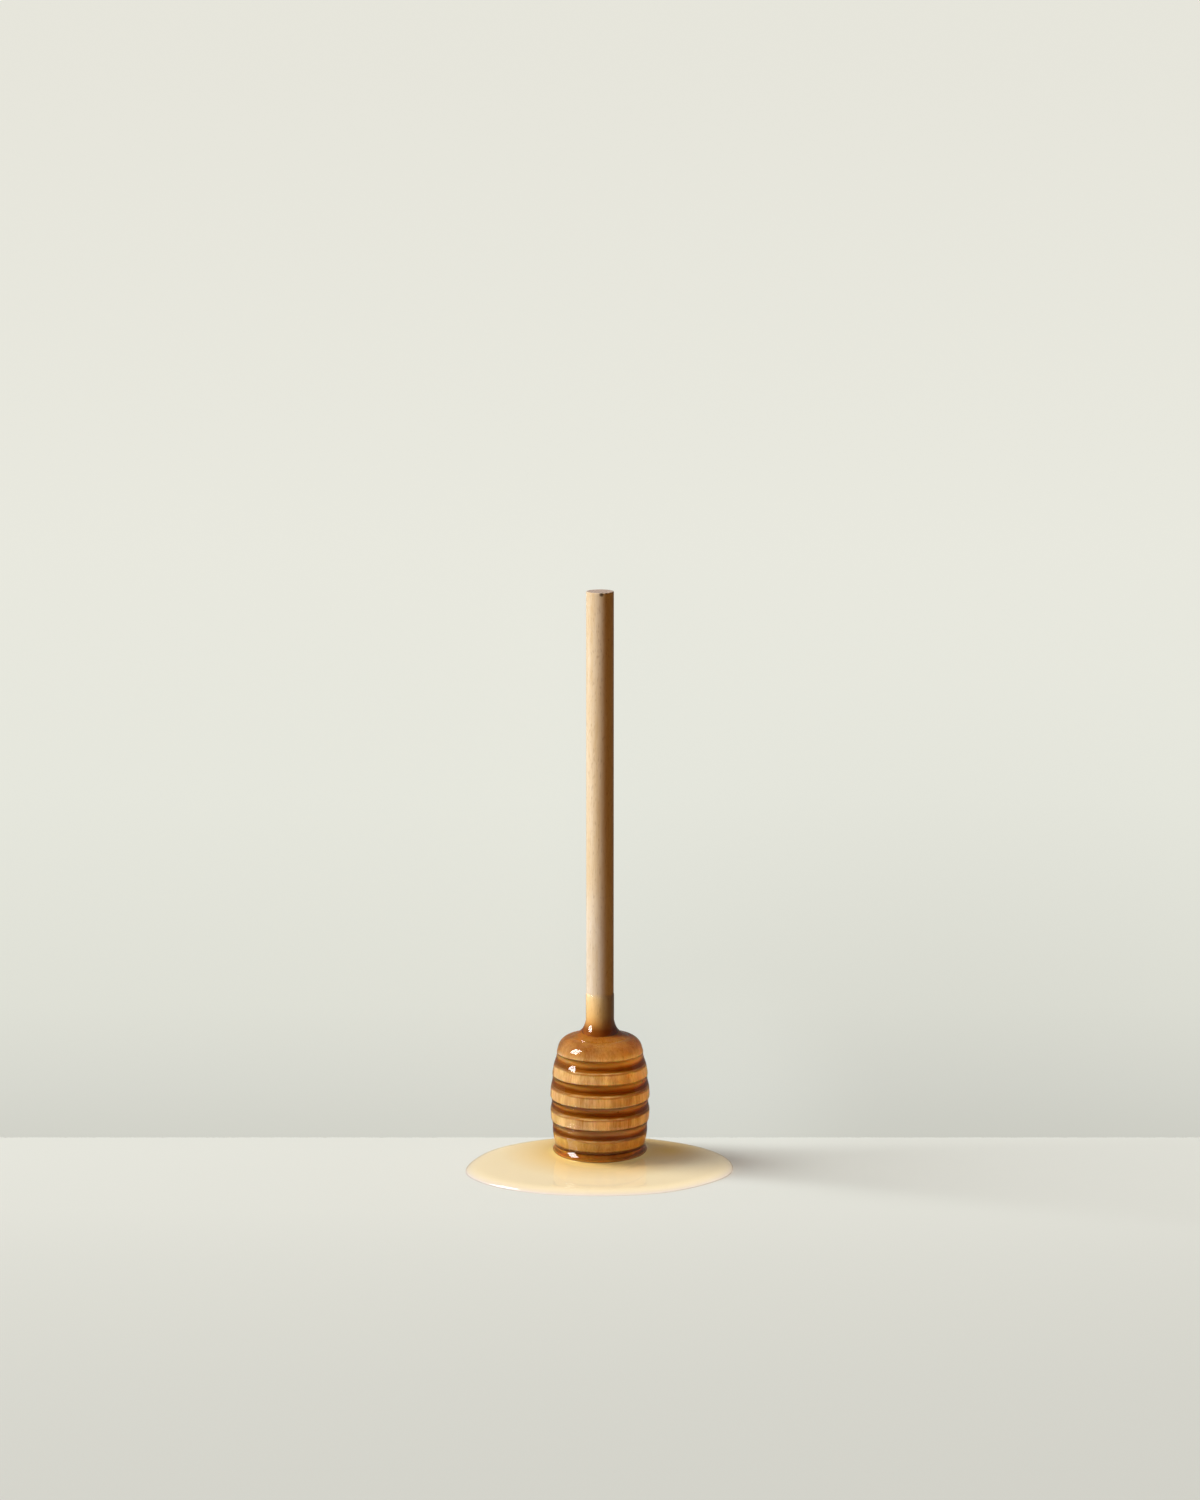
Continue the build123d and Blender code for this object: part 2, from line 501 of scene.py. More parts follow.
def in_groove(tree, place, down):
    """How far a point is inside a groove, or on the edge of the rib under it."""
    inside = add(tree, "ShaderNodeMapRange", {
        "Value": (from_axis(tree, place), "Value"),
        "From Min": no_groove_paint_radius * mm, "From Max": full_groove_paint_radius * mm,
    })
    past_edge = add(tree, "ShaderNodeMath", {0: (down, "Value"), 1: edge_share}, operation="SUBTRACT")
    from_edge = add(tree, "ShaderNodeMath", {0: (past_edge, "Value")}, operation="ABSOLUTE")
    on_edge = add(tree, "ShaderNodeMapRange", {
        "Value": (from_edge, "Value"), "From Max": edge_reach, "To Min": edge_painted_shade, "To Max": 0.0,
    })
    return add(tree, "ShaderNodeMath", {
        0: (inside, "Result"), 1: (on_edge, "Result"),
    }, operation="MAXIMUM")


def painted_groove_light_and_shade(tree, place, parts, colour, stops):
    """Paints light and shade on the wood inside the grooves, along (share of the way down, colour) stops."""
    wobble = add(tree, "ShaderNodeTexNoise", {
        "Vector": (place, "Object"), "Scale": 1 / (7.0 * mm), "Detail": 2.0,
    })
    shift = add(tree, "ShaderNodeMapRange", {
        "Value": (wobble, "Fac"), "To Min": -uneven_line * mm, "To Max": uneven_line * mm,
    })
    below = add(tree, "ShaderNodeMath", {0: groove_tops[0] * mm, 1: (parts, "Z")}, operation="SUBTRACT")
    under_cap = add(tree, "ShaderNodeMath", {
        0: (below, "Value"), 1: -groove_slack * mm,
    }, operation="GREATER_THAN")
    over_foot = add(tree, "ShaderNodeMath", {0: (parts, "Z"), 1: foot_rib_z * mm}, operation="GREATER_THAN")
    in_reach = add(tree, "ShaderNodeMath", {
        0: (under_cap, "Value"), 1: (over_foot, "Value"),
    }, operation="MULTIPLY")
    below = add(tree, "ShaderNodeMath", {0: (below, "Value"), 1: (shift, "Result")}, operation="ADD")
    turn = add(tree, "ShaderNodeMath", {
        0: (below, "Value"), 1: groove_pitch * mm,
    }, operation="FLOORED_MODULO")
    down = add(tree, "ShaderNodeMath", {0: (turn, "Value"), 1: groove_width * mm}, operation="DIVIDE")
    inside = in_groove(tree, place, down)
    # Painted shade under the rib above, a painted lit band, and painted shade at the bottom and on the rib
    # below
    painted_groove_colour = add(tree, "ShaderNodeValToRGB", {"Fac": (down, "Value")}, stops=stops)
    amount = add(tree, "ShaderNodeMath", {0: (inside, "Value"), 1: (in_reach, "Value")}, operation="MULTIPLY")
    return add(tree, "ShaderNodeMix", {
        "Factor": (amount, "Value"), 6: (colour, 2), 7: (painted_groove_colour, "Color"),
    }, data_type="RGBA")


print("grooves browned from", round(groove_tops[0], 1), "mm down, every", groove_pitch, "mm")

# %% [markdown]
# ## Stains, rings of painted shade, and chips
# Where honey has soaked in, the wood is stained in rings: a list of heights with a tint for each,
# multiplied over the grain. A dark ring in the head's lowest groove and one at the dowel's foot are
# painted shade. A chip is a small dark nick, where the saw tore a fibre out.

# %% Stains and chips
chip_colour = "#3A2A1C"


def stained_and_shaded(tree, parts, colour, stains_and_shade):
    """Tints the wood by height, along (height in mm, tint) stops, for stains and painted shade."""
    low, high = stains_and_shade[0][0], stains_and_shade[-1][0]
    up = add(tree, "ShaderNodeMapRange", {"Value": (parts, "Z"), "From Min": low * mm, "From Max": high * mm})
    stain_and_shade_ramp = add(tree, "ShaderNodeValToRGB", {"Fac": (up, "Result")}, stops=[
        ((z - low) / (high - low), tint) for z, tint in stains_and_shade
    ])
    return add(tree, "ShaderNodeMix", {
        "Factor": 1.0, 6: (colour, 2), 7: (stain_and_shade_ramp, "Color"),
    }, data_type="RGBA", blend_type="MULTIPLY")


def chipped(tree, place, colour, spot, reach):
    """One dark nick, with its place and reach in mm."""
    near = near_spot(tree, place, [v * mm for v in spot], reach * mm, 0.85, 0.0, core=0.4 * reach * mm)
    return add(tree, "ShaderNodeMix", {
        "Factor": (near, "Result"), 6: (colour, 2), 7: linear(chip_colour),
    }, data_type="RGBA")


print("chips are", chip_colour)

# %% [markdown]
# ## Wood
# Turned and sanded but not varnished, beech has a soft broad gloss. Soaked with honey, it turns
# amber, loses its own gloss, and lets light run in under its face. One function makes both.

# %% Wood
def wood(name, pale, dark, fleck, end_grain, fibre_mm, gloss, top_at, stains_and_shade, soaked=0.0,
         groove_light_and_shade_stops=None, chips=()):
    """Beech with its grain along Z. Soaked is 1 for wood under honey."""
    material, tree, output = new_material(name)
    place = add(tree, "ShaderNodeTexCoord")
    parts = add(tree, "ShaderNodeSeparateXYZ", {0: (place, "Object")})
    grains = beech_grain(tree, place, fibre_mm)
    colour = side_grain(tree, grains, pale, dark, fleck)
    colour = with_end_grain(tree, place, parts, colour, fleck, end_grain, top_at)
    if groove_light_and_shade_stops:
        colour = painted_groove_light_and_shade(tree, place, parts, colour, groove_light_and_shade_stops)
    colour = stained_and_shaded(tree, parts, colour, stains_and_shade)
    for spot, reach in chips:
        colour = chipped(tree, place, colour, spot, reach)
    fibres = (grains["fibres"], "Fac")
    rough = add(tree, "ShaderNodeMapRange", {"Value": fibres, "To Min": gloss, "To Max": gloss + 0.12})
    bump = add(tree, "ShaderNodeBump", {"Strength": 0.25, "Distance": 0.05 * mm, "Height": fibres})
    surface = add(tree, "ShaderNodeBsdfPrincipled", {
        "Base Color": (colour, 2), "Roughness": (rough, "Result"), "Normal": (bump, "Normal"),
        "Specular IOR Level": 0.5 * (1 - soaked), "Subsurface Weight": soaked,
        "Subsurface Radius": (1.0, 0.45, 0.15), "Subsurface Scale": 1.5 * mm,
    })
    tree.links.new(surface.outputs["BSDF"], output.inputs["Surface"])
    return material


# Dry dowel: pale, with a dark ring of painted shade just above the crown where the honey neck meets it, then
# amber where honey wets it, and a sawn top
dry_beech = wood("sanded beech", "#EFDEC0", "#DFC497", "#A57C50", "#E4D0C0", 0.30, 0.42,
                 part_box("handle")[1].z - 0.02 * mm, [
                     (35.0, "#94602A"), (37.2, "#94602A"), (39.2, "#D8B070"), (41.5, "#EBD3A0"),
                     (46.3, "#F6EACC"), (48.0, "#FFFFFF"), (66.0, "#FFFFFF"), (80.0, "#FFF8E9"),
                 ], chips=[((0.4, -3.8, 159.6), 0.75), ((1.7, -3.4, 159.9), 0.35)])
# Soaked head: amber, with no end grain showing. A dark ring at 3.1 to 3.8 mm is painted shade in the lowest
# groove, where the pool meets it, and the grooves above get painted light and shade
no_end_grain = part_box("head")[1].z + 1
soaked_beech = wood("honey-soaked beech", "#E2C082", "#AC7E44", "#8A5E2C", "#D5A665", 0.35, 0.45,
                    no_end_grain, [
                        (0.5, "#FFFFF0"), (2.6, "#FFFFF0"), (3.1, "#7A4E1C"), (3.8, "#7A4E1C"),
                        (4.2, "#DDBB68"), (7.6, "#E6DCA4"), (8.3, "#FFFFFF"), (30.6, "#FFFFFF"),
                        (31.6, "#E6D2B4"), (33.2, "#CDB08A"), (34.4, "#D0AE74"), (35.0, "#D8B060"),
                    ], soaked=1.0, groove_light_and_shade_stops=[
                        (0.0, "#8A6028"), (0.14, "#DCC286"), (0.55, "#D2B27A"), (0.82, "#92602A"),
                        (1.0, "#84521A"),
                    ])
print("wood nodes", len(dry_beech.node_tree.nodes), len(soaked_beech.node_tree.nodes))

# %% [markdown]
# ## Glue
# Dried wood glue is a hard, slightly yellow film with tiny bubbles. It lies hidden in the bore,
# and shows only in a cut-open view, so a mottled matt material is all that it needs.

# %% Glue
def dried_glue():
    """Yellowish dried wood glue, mottled at the size of its small bubbles."""
    material, tree, output = new_material("dried wood glue")
    place = add(tree, "ShaderNodeTexCoord")
    bubbles = add(tree, "ShaderNodeTexVoronoi", {"Vector": (place, "Object"), "Scale": 1 / (0.8 * mm)})
    colour = add(tree, "ShaderNodeValToRGB", {"Fac": (bubbles, "Distance")}, stops=[
        (0.0, "#C9B27A"), (0.6, "#E3D09C"),
    ])
    surface = add(tree, "ShaderNodeBsdfPrincipled", {"Base Color": (colour, "Color"), "Roughness": 0.4})
    tree.links.new(surface.outputs["BSDF"], output.inputs["Surface"])
    return material


for name, material in (("handle", dry_beech), ("head", soaked_beech), ("glue_line", dried_glue())):
    nodes[name].data.materials.clear()
    nodes[name].data.materials.append(material)
    print(name, "is", material.name)

# %% [markdown]
# ## The pool's own tint
# Close to the foot the pool looks more golden than absorption alone gives, so its skin is tinted
# by the distance from the dipper's axis. The tint deepens softly where the head shades the pool,
# as painted golden shade, and a painted cool shade dims the low rim.

# %% Tint of the pool
# A painted cool shade that dims the pool's low rim
rim_shade = "#E8E6FF"
rim_low_z = 0.3
rim_high_z = 1.45


def pool_tint(tree, place, depths, spot, reach, shade):
    """The skin's tint by (radius in mm, colour) stops, with painted shade deeper round a spot and cooler on
    the low rim.
    """
    near, far = depths[0][0], depths[-1][0]
    out = add(tree, "ShaderNodeMapRange", {
        "Value": (from_axis(tree, place), "Value"), "From Min": near * mm, "From Max": far * mm,
    })
    tint = add(tree, "ShaderNodeValToRGB", {"Fac": (out, "Result")}, stops=[
        ((r - near) / (far - near), colour) for r, colour in depths
    ])
    close = near_spot(tree, place, [v * mm for v in spot], reach * mm, 1.0, 0.0,
                      interpolation_type="SMOOTHSTEP")
    tinted = add(tree, "ShaderNodeMix", {
        "Factor": (close, "Result"), 6: (tint, "Color"), 7: linear(shade),
    }, data_type="RGBA", blend_type="MULTIPLY")
    parts = add(tree, "ShaderNodeSeparateXYZ", {0: (place, "Object")})
    low = add(tree, "ShaderNodeMapRange", {
        "Value": (parts, "Z"), "From Min": rim_low_z * mm, "From Max": rim_high_z * mm,
        "To Min": 1.0, "To Max": 0.0,
    })
    return add(tree, "ShaderNodeMix", {
        "Factor": (low, "Result"), 6: (tinted, 2), 7: linear(rim_shade),
    }, data_type="RGBA", blend_type="MULTIPLY")


print("rim tint", rim_shade)

# %% [markdown]
# ## Honey
# Clear runny honey bends light a little more than water does, and depth colours it: it takes
# blue out of the light within a few millimetres, and green more slowly. So the surface is clear
# glass, and the colour sits inside, as absorption. A thin film looks pale, a filled groove amber.
# Glass would cast a black shadow, so for shadow rays the skin is see-through, with a soft brown.

# %% Honey
honey_index = 1.49
mirror_level = 0.2
blue_loss_per_mm = 0.160
green_loss_per_mm = 0.050
red_loss_per_mm = 0.004
skin_shadow = "#A89A88"


def clear_honey(name, tint=None):
    """Glass-smooth liquid honey, coloured by absorption. Tint holds the settings of pool_tint."""
    material, tree, output = new_material(name)
    place = add(tree, "ShaderNodeTexCoord")
    ripple = add(tree, "ShaderNodeTexNoise", {
        "Vector": (place, "Object"), "Scale": 1 / (4.0 * mm), "Detail": 1.0,
    })
    bump = add(tree, "ShaderNodeBump", {"Strength": 0.15, "Distance": 0.1 * mm, "Height": (ripple, "Fac")})
    surface = add(tree, "ShaderNodeBsdfPrincipled", {
        "Base Color": (1, 1, 1, 1), "Roughness": 0.0, "IOR": honey_index,
        "Transmission Weight": 1.0, "Normal": (bump, "Normal"), "Specular IOR Level": mirror_level,
    })
    if tint:
        tinted = pool_tint(tree, place, **tint)
        tree.links.new(tinted.outputs[2], surface.inputs["Base Color"])
    inside = add(tree, "ShaderNodeVolumeAbsorption", {
        "Color": (1 - red_loss_per_mm / blue_loss_per_mm, 1 - green_loss_per_mm / blue_loss_per_mm, 0, 1),
        "Density": blue_loss_per_mm / mm,
    })
    rays = add(tree, "ShaderNodeLightPath")
    face = add(tree, "ShaderNodeNewGeometry")
    through = add(tree, "ShaderNodeMix", {
        "Factor": (face, "Backfacing"), 6: linear(skin_shadow), 7: (1, 1, 1, 1),
    }, data_type="RGBA")
    passed = add(tree, "ShaderNodeBsdfTransparent", {"Color": (through, 2)})
    skin = add(tree, "ShaderNodeMixShader", {
        0: (rays, "Is Shadow Ray"), 1: (surface, "BSDF"), 2: (passed, "BSDF"),
    })
    tree.links.new(skin.outputs["Shader"], output.inputs["Surface"])
    tree.links.new(inside.outputs["Volume"], output.inputs["Volume"])
    return material


honey = clear_honey("clear runny honey")
pooled_honey = clear_honey("pooled honey", {
    "depths": [
        (13.4, "#E6D290"), (15.0, "#E4C486"), (20.0, "#F3DDBA"), (28.0, "#FFF9F5"), (32.0, "#FFF9F8"),
    ],
    "spot": (19.0, 1.0, 1.0), "reach": 17.0, "shade": "#F8C446",
})
print("honey", honey.name, "and", pooled_honey.name, "with index", honey_index)

# %% [markdown]
# ## The head's outline
# The honey follows the turned wood, so its rule starts from the same lines: a long barrel arc, a
# rounded shoulder and a slightly crowned top. Each function gives one of these lines in
# millimetres, for a skin of any thickness.

# %% Outline of the head and its skin
def barrel(z, skin=0.0):
    """The barrel's radius at a height."""
    return widest_radius - barrel_curve + math.sqrt((barrel_curve + skin) ** 2 - (z - widest_z) ** 2)


crown_radius = barrel(crown_z - crown_rise)


def crown(radius, skin=0.0):
    """The height of the crowned top at a radius."""
    return crown_z + skin - crown_rise * (radius / crown_radius) ** 2


def shoulder(skin):
    """The rounded shoulder as points, found by letting a ball roll into the corner."""
    ball = shoulder_radius + skin
    centre_r, centre_z = 8.0, 31.0
    for _ in range(6):
        centre_z = crown(centre_r, skin) - ball
        reach = barrel_curve + skin - ball
        centre_r = widest_radius - barrel_curve + math.sqrt(reach**2 - (centre_z - widest_z) ** 2)
    low = math.atan2(centre_z - widest_z, centre_r - widest_radius + barrel_curve)
    turns = [low + (math.pi / 2 - low) * n / 24 for n in range(25)]
    return [(centre_r + ball * math.cos(t), centre_z + ball * math.sin(t)) for t in turns]


def between(start, end, step):
    """Evenly spaced values from start to end, both included."""
    count = max(1, round(abs(end - start) / step))
    return [start + (end - start) * n / count for n in range(count + 1)]


film = 0.15
print("shoulder starts at", [round(v, 2) for v in shoulder(film)[0]])

# %% [markdown]
# ## How honey hangs in a groove
# In each groove the honey draws in under the upper rib and swells out over the lower one, and
# that bulge catches the light. Each groove draws the skin in by a smooth hump of its own size.
# The lowest one, near the pool, is filled flush.

# %% Sag in the grooves
groove_sags = [0.24, 0.26, 0.42, 0.30, 0.0]
sag_above = 0.4
sag_below = 0.5
sag_rise = 1.2
sag_fall = 2.2


def sag_at(z):
    """How far the hanging honey is drawn in at a height."""
    deepest = sag_rise / (sag_rise + sag_fall)
    full = deepest**sag_rise * (1 - deepest) ** sag_fall
    total = 0.0
    for top, sag in zip(groove_tops, groove_sags):
        share = (top + sag_above - z) / (groove_width + sag_above + sag_below)
        if 0 < share < 1:
            total += sag * share**sag_rise * (1 - share) ** sag_fall / full
    return total


print("deepest sag", round(max(sag_at(z) for z in between(foot_z, crown_z, 0.1)), 3), "mm")

# %% [markdown]
# ## The honey's outer line
# From the foot the line goes up the barrel and round the shoulder. Then it climbs the dowel in a
# raised neck, drawn as one Bezier curve, and ends as a thin film with a soft lip.

# %% Outer line of the honey
dowel_film = 0.12
sink = 0.05
wet_length = 12.3
neck_height = 4.5
neck_reach = 4.3
neck_pull_shares = ((0.16, 0.22), (0.10, 0.66))
neck_steps = 32
lip_length = 0.6
lip_share = 0.6
lip_drop = 0.25
wet_top_z = crown_z + wet_length
neck_top_z = crown_z + neck_height
skin_radius = dowel_radius + dowel_film


def raised_neck():
    """The neck's points. Its foot on the crown lies where the shoulder ends, and isn't repeated."""
    foot = skin_radius + neck_reach
    pulls = [(skin_radius + neck_reach * out, crown_z + neck_height * up) for out, up in neck_pull_shares]
    corners = ((foot, crown(foot, film)), *pulls, (skin_radius, neck_top_z))
    points = []
    for n in range(1, neck_steps + 1):
        t = n / neck_steps
        weights = ((1 - t) ** 3, 3 * t * (1 - t) ** 2, 3 * t * t * (1 - t), t**3)
        points.append(tuple(sum(w * c[k] for w, c in zip(weights, corners)) for k in (0, 1)))
    return points


def outer_skin():
    """The honey's outer line, from the foot up to the dowel, as (radius, height)."""
    rounded = shoulder(film)
    points = [(barrel(z, film) - sag_at(z), z) for z in between(foot_z, rounded[0][1], 0.2)]
    points += [(r - sag_at(z), z) for r, z in rounded[1:]]
    points += raised_neck()
    points += [(skin_radius, z) for z in between(neck_top_z, wet_top_z - lip_length, 0.4)[1:]]
    points.append((dowel_radius + dowel_film * lip_share, wet_top_z - lip_drop))
    return points + [(dowel_radius - sink, wet_top_z)]


outer_points = outer_skin()
print("outer points", len(outer_points), "up to", round(wet_top_z, 1), "mm")

# %% [markdown]
# ## The honey's inner line
# Liquid touches the wood everywhere, so the inner line follows the bare wood, in and out of each
# groove. It lies a hair under the wood's face, because two faces in one place would flicker.

# %% Inner line of the honey
edge_break = 0.3
rib_step = 0.4


def inner_skin():
    """The honey's inner line, just under the wood's face, from the dowel down to the foot."""
    points = [(dowel_radius - sink, z) for z in between(wet_top_z - 0.4, crown_z - 0.2, 0.8)]
    points += [(r, crown(r) - sink) for r in between(dowel_radius + 0.6, shoulder(-sink)[-1][0], 0.8)]
    points += list(reversed(shoulder(-sink)))[1:]
    for top in groove_tops:
        bottom = top - groove_width
        points += [(barrel(top, -sink) - edge_break, top + sink), (core_radius - sink, top + sink)]
        points += [(core_radius - sink, bottom - sink), (barrel(bottom, -sink) - edge_break, bottom - sink)]
        points += [(barrel(bottom - rib_step, -sink), bottom - rib_step)]
    return points + [(barrel(foot_z, -sink), foot_z)]


inner_points = inner_skin()
print("inner points", len(inner_points))

# %% [markdown]
# ## A tree that turns a half section
# The half section comes in as a chain of edges, becomes a curve, and runs round a circle. Two
# point attributes say where the skin may wander: the outer face, and the wet edge on the dowel.
# One slow noise makes the face uneven and lets the edge climb and fall.

# %% Geometry Nodes: the potter's wheel
def turned_skin(tree, given):
    """The section turned round the axis, and unsettled a little."""
    section = add(tree, "GeometryNodeMeshToCurve", {"Mesh": (given, "Section")})
    circle = add(tree, "GeometryNodeCurvePrimitiveCircle", {
        "Resolution": (given, "Steps Round"), "Radius": (given, "Turning Radius"),
    })
    turned = add(tree, "GeometryNodeCurveToMesh", {
        "Curve": (circle, "Curve"), "Profile Curve": (section, "Curve"),
    })
    turned = add(tree, "GeometryNodeFlipFaces", {"Mesh": (turned, "Mesh")})
    where = add(tree, "GeometryNodeInputPosition")
    outward = add(tree, "ShaderNodeVectorMath", {0: (where, "Position"), 1: (1, 1, 0)}, operation="MULTIPLY")
    outward = add(tree, "ShaderNodeVectorMath", {0: (outward, "Vector")}, operation="NORMALIZE")
    per_swell = add(tree, "ShaderNodeMath", {0: 1.0, 1: (given, "Swell Size")}, operation="DIVIDE")
    swell = add(tree, "ShaderNodeTexNoise", {
        "Vector": (where, "Position"), "Scale": (per_swell, "Value"), "Detail": 1.0,
    })
    centred = add(tree, "ShaderNodeMath", {0: (swell, "Fac"), 1: 0.5}, operation="SUBTRACT")
    moves = {}
    for face, most in (("outer_face", "Unevenness"), ("wet_edge", "Edge Wander")):
        mask = add(tree, "GeometryNodeInputNamedAttribute", {"Name": face}, data_type="FLOAT")
        move = add(tree, "ShaderNodeMath", {0: (centred, "Value"), 1: (given, most)}, operation="MULTIPLY")
        moves[face] = add(tree, "ShaderNodeMath", {
            0: (move, "Value"), 1: (mask, "Attribute"),
        }, operation="MULTIPLY")
    sideways = add(tree, "ShaderNodeVectorMath", {
        0: (outward, "Vector"), "Scale": (moves["outer_face"], "Value"),
    }, operation="SCALE")
    upward = add(tree, "ShaderNodeCombineXYZ", {"Z": (moves["wet_edge"], "Value")})
    moved = add(tree, "ShaderNodeVectorMath", {
        0: (sideways, "Vector"), 1: (upward, "Vector"),
    }, operation="ADD")
    uneven = add(tree, "GeometryNodeSetPosition", {"Geometry": (turned, "Mesh"), "Offset": (moved, "Vector")})
    return add(tree, "GeometryNodeSetShadeSmooth", {"Geometry": (uneven, "Geometry"), "Shade Smooth": True})


print("the wheel turns", len(outer_points) + len(inner_points), "points")

# %% [markdown]
# ## Air bubbles
# Stirred honey holds a few small bubbles. Each is a tiny sphere in a filled groove, turned inside
# out, because air in a liquid is a hollow. Five random draws, each with its own fixed seed, place
# and size them.

# %% Geometry Nodes: bubbles
bubble_depths = (core_radius + 0.8, core_radius + 2.3)
bubble_heights = (groove_tops[0] - 2.6, groove_tops[0] - 0.7)


def random_draws(tree, given):
    """Five random values for each bubble, by name, as links."""
    drawn = {}
    for step, (name, kind, low, high) in enumerate((
        ("angle", "FLOAT", 0.0, 2 * math.pi),
        ("depth", "FLOAT", bubble_depths[0] * mm, bubble_depths[1] * mm),
        ("groove", "INT", 0, 3),
        ("height", "FLOAT", bubble_heights[0] * mm, bubble_heights[1] * mm),
        ("size", "FLOAT", 0.35, 1.0),
    ), start=1):
        seed = add(tree, "ShaderNodeMath", {0: (given, "Seed"), 1: float(step)}, operation="ADD")
        low_at, high_at, value_at = {"FLOAT": (2, 3, 1), "INT": (4, 5, 2)}[kind]
        node = add(tree, "FunctionNodeRandomValue", {
            low_at: low, high_at: high, "Seed": (seed, "Value"),
        }, data_type=kind)
        drawn[name] = (node, value_at)
    return drawn


def bubbles_in_grooves(tree, given):
    """Hollow little spheres, scattered in the upper grooves."""
    drawn = random_draws(tree, given)
    drop = add(tree, "ShaderNodeMath", {0: drawn["groove"], 1: groove_pitch * mm}, operation="MULTIPLY")
    height = add(tree, "ShaderNodeMath", {0: drawn["height"], 1: (drop, "Value")}, operation="SUBTRACT")
    sides = {"Z": (height, "Value")}
    for axis, wave in (("X", "COSINE"), ("Y", "SINE")):
        share = add(tree, "ShaderNodeMath", {0: drawn["angle"]}, operation=wave)
        side = add(tree, "ShaderNodeMath", {0: drawn["depth"], 1: (share, "Value")}, operation="MULTIPLY")
        sides[axis] = (side, "Value")
    spot = add(tree, "ShaderNodeCombineXYZ", sides)
    points = add(tree, "GeometryNodePoints", {"Count": (given, "Bubbles"), "Position": (spot, "Vector")})
    ball = add(tree, "GeometryNodeMeshIcoSphere", {"Radius": (given, "Bubble Radius"), "Subdivisions": 3})
    bubbles = add(tree, "GeometryNodeInstanceOnPoints", {
        "Points": (points, "Points"), "Instance": (ball, "Mesh"), "Scale": drawn["size"],
    })
    real = add(tree, "GeometryNodeRealizeInstances", {"Geometry": (bubbles, "Instances")})
    hollow = add(tree, "GeometryNodeFlipFaces", {"Mesh": (real, "Geometry")})
    return add(tree, "GeometryNodeSetShadeSmooth", {"Geometry": (hollow, "Mesh"), "Shade Smooth": True})


print("bubbles", [round(d, 1) for d in bubble_depths], "mm from the axis")

# %% [markdown]
# ## The whole tree
# The tree has named inputs for its sizes, so the same wheel could turn another skin. It joins skin
# and bubbles, and ends in real geometry with its material, because an export drops instances.

# %% Geometry Nodes: the whole tree
wheel_inputs = (
    ("Section", "NodeSocketGeometry"), ("Turning Radius", "NodeSocketFloat"),
    ("Steps Round", "NodeSocketInt"), ("Unevenness", "NodeSocketFloat"),
    ("Swell Size", "NodeSocketFloat"), ("Edge Wander", "NodeSocketFloat"),
    ("Bubbles", "NodeSocketInt"), ("Bubble Radius", "NodeSocketFloat"),
    ("Seed", "NodeSocketInt"), ("Honey", "NodeSocketMaterial"),
)


def honey_wheel():
    """The Geometry Nodes tree that turns the section, unsettles it and adds bubbles."""
    tree = bpy.data.node_groups.new("turned honey skin", "GeometryNodeTree")
    for name, kind in wheel_inputs:
        tree.interface.new_socket(name=name, in_out="INPUT", socket_type=kind)
    tree.interface.new_socket(name="Skin", in_out="OUTPUT", socket_type="NodeSocketGeometry")
    given = add(tree, "NodeGroupInput")
    smooth = turned_skin(tree, given)
    hollow = bubbles_in_grooves(tree, given)
    joined = add(tree, "GeometryNodeJoinGeometry")
    tree.links.new(smooth.outputs["Geometry"], joined.inputs["Geometry"])
    tree.links.new(hollow.outputs["Geometry"], joined.inputs["Geometry"])
    whole = add(tree, "GeometryNodeRealizeInstances", {"Geometry": (joined, "Geometry")})
    painted = add(tree, "GeometryNodeSetMaterial", {
        "Geometry": (whole, "Geometry"), "Material": (given, "Honey"),
    })
    add(tree, "NodeGroupOutput", {"Skin": (painted, "Geometry")})
    return tree


wheel = honey_wheel()
print("wheel nodes", len(wheel.nodes))

# %% [markdown]
# ## Turning the skin
# The chain of points goes in as a mesh with edges only, with its two attributes. The evaluated
# result is taken out as a plain mesh, so that the finished piece does not depend on the tree.

# %% Honey on the dipper
turning_radius = 8.0
foot_kept_even = 3.0
edge_fade = 4.0


def plain_from_nodes(piece, tree, values):
    """Runs a tree on a piece and keeps the result as its plain mesh."""
    modifier = piece.modifiers.new(tree.name, "NODES")
    modifier.node_group = tree
    for item in tree.interface.items_tree:
        if item.item_type == "SOCKET" and item.in_out == "INPUT" and item.name in values:
            modifier[item.identifier] = values[item.name]
    bpy.context.view_layer.update()
    graph = bpy.context.evaluated_depsgraph_get()
    mesh = bpy.data.meshes.new_from_object(piece.evaluated_get(graph), depsgraph=graph)
    piece.modifiers.clear()
    piece.data = mesh


def turned_section():
    """The closed half section as a chain of edges, moved so that the wheel's circle is its zero."""
    chain = outer_points + inner_points
    places = [((r - turning_radius) * mm, -z * mm, 0) for r, z in chain]
    links = [(n, (n + 1) % len(chain)) for n in range(len(chain))]
    mesh = bpy.data.meshes.new("honey_on_dipper")
    mesh.from_pydata(places, links, [])
    outer = mesh.attributes.new("outer_face", "FLOAT", "POINT")
    edge = mesh.attributes.new("wet_edge", "FLOAT", "POINT")
    for n, (_, z) in enumerate(chain):
        on_skin = n < len(outer_points)
        outer.data[n].value = 1.0 if on_skin and foot_kept_even < z < neck_top_z else 0.0
        edge.data[n].value = max(0.0, 1 - (wet_top_z - z) / edge_fade)
    return mesh


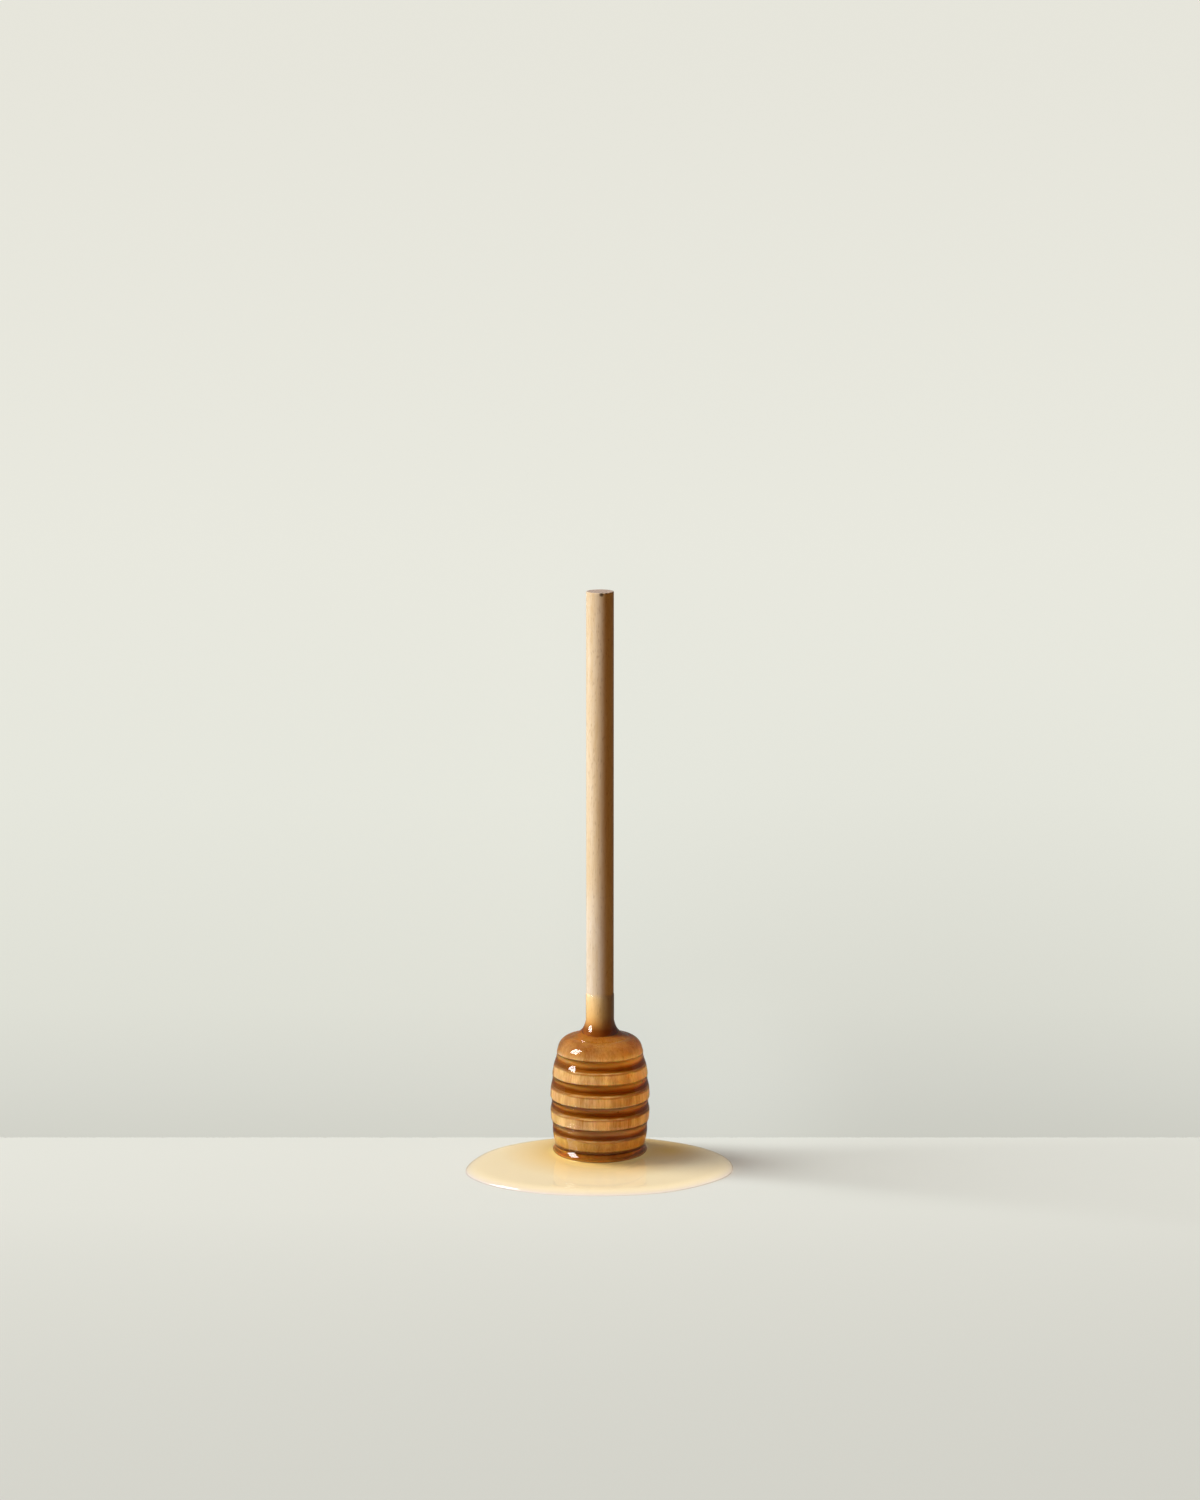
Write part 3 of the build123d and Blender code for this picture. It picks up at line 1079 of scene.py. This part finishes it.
honey_on_dipper = bpy.data.objects.new("honey_on_dipper", turned_section())
scene.collection.objects.link(honey_on_dipper)
plain_from_nodes(honey_on_dipper, wheel, {
    "Turning Radius": turning_radius * mm, "Steps Round": 200, "Unevenness": 0.10 * mm,
    "Swell Size": 5.0 * mm, "Edge Wander": 2.0 * mm, "Bubbles": 16, "Bubble Radius": 0.28 * mm,
    "Seed": 7, "Honey": honey,
})
pieces_lit.objects.link(honey_on_dipper)
mirrors_window.objects.link(honey_on_dipper)
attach(honey_on_dipper, "dipper")
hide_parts("honey_coat")
heights = [v.co.z / mm for v in honey_on_dipper.data.vertices]
print("honey", len(honey_on_dipper.data.polygons), "faces, z", round(min(heights), 2), round(max(heights), 2))

# %% [markdown]
# ## The pool's depth
# Left alone, honey spreads until its own weight and its skin balance, with a flat top and a
# rounded rim. Under a dipper that still drips, it slopes a little, and it climbs steeply where
# it wets the foot of the head.

# %% Depth of the pool
rim_depth = 1.5
slope_rise = 0.85
slope_reach = 6.0
climb_rise = 1.9
climb_reach = 0.6


def pool_depth(reach):
    """The pool's depth at a distance from the foot: it slopes, and climbs steeply at the head."""
    slope = slope_rise * math.exp(-reach / slope_reach)
    return rim_depth + slope + climb_rise * math.exp(-reach / climb_reach)


print("pool depth", round(pool_depth(0), 2), "mm at the foot,", round(pool_depth(20), 2), "further out")

# %% [markdown]
# ## The pool's rings
# The pool is built as rings round the dipper's axis. Its outline is felt out on the CAD pool,
# ray by ray, so both have the same edge. Its hollow overlaps the honey on the head by a hair, so
# the two look like one liquid. The rim is a squared-off round.

# %% Rings of the pool
rim_width = 4.5
rim_square = 3.5
rim_steps = 18
top_steps = 30
top_crowding = 2.2
# Below zero, the pool overlaps the honey on the head
seam = -0.02
feeler_z = 0.25
feeler_reach_m = 0.2


def pool_edge(angle):
    """The pool's radius in one direction, felt from outside on the CAD pool."""
    start = Vector((feeler_reach_m * math.cos(angle), feeler_reach_m * math.sin(angle), feeler_z * mm))
    hit, spot, _, _ = nodes["honey_pool"].ray_cast(start, -start.normalized())
    assert hit, "the CAD pool has no edge in this direction"
    return math.hypot(spot.x, spot.y) / mm


def pool_rings(edge):
    """(radius, height) down one spoke: hollow, foot, top from the head to the rim, underside."""
    foot = barrel(foot_z, film + seam)
    crest = pool_depth(0)
    inner = barrel(crest, film + seam)
    ring = [(foot * n / 4, foot_z - seam) for n in range(1, 4)]
    ring += [(barrel(z, film + seam), z) for z in between(foot_z - seam, crest, 0.2)]
    rim = min(rim_width, 0.5 * (edge - inner))
    across = edge - rim - inner
    # The rings crowd towards the foot, where the skin climbs
    for n in range(1, top_steps + 1):
        reach = across * (n / top_steps) ** top_crowding
        ring.append((inner + reach, pool_depth(reach)))
    rim_top = pool_depth(across)
    for n in range(1, rim_steps + 1):
        share = math.sin(math.pi / 2 * n / rim_steps)
        ring.append((edge - rim + rim * share, rim_top * math.sqrt(1 - share**rim_square)))
    return ring + [(edge * share, 0.0) for share in (0.8, 0.5, 0.2)]


print("pool edge in front", round(pool_edge(-math.pi / 2), 1), "mm from the axis")

# %% [markdown]
# ## The pool
# The rings are joined spoke by spoke into one closed skin, with a middle point above and one
# below. Its faces point outwards, which glass and absorption both need.

# %% Pool
pool_steps = 300


def pool_mesh():
    """The pool as one closed skin of spokes and rings."""
    places = [(0, 0, (foot_z - seam) * mm), (0, 0, 0)]
    faces = []
    for n in range(pool_steps):
        angle = 2 * math.pi * n / pool_steps
        ring = pool_rings(pool_edge(angle))
        places += [(r * mm * math.cos(angle), r * mm * math.sin(angle), z * mm) for r, z in ring]
        count = len(ring)
        here = 2 + n * count
        there = 2 + (n + 1) % pool_steps * count
        faces.append((0, here, there))
        faces += [(here + k, here + k + 1, there + k + 1, there + k) for k in range(count - 1)]
        faces.append((here + count - 1, 1, there + count - 1))
    mesh = bpy.data.meshes.new("pool_of_honey")
    mesh.from_pydata(places, [], faces)
    mesh.shade_smooth()
    return mesh


pool_of_honey = bpy.data.objects.new("pool_of_honey", pool_mesh())
scene.collection.objects.link(pool_of_honey)
pool_of_honey.data.materials.append(pooled_honey)
pieces_lit.objects.link(pool_of_honey)
mirrors_window.objects.link(pool_of_honey)
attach(pool_of_honey, "pool")
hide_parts("honey_pool")
print("pool", len(pool_of_honey.data.polygons), "faces")
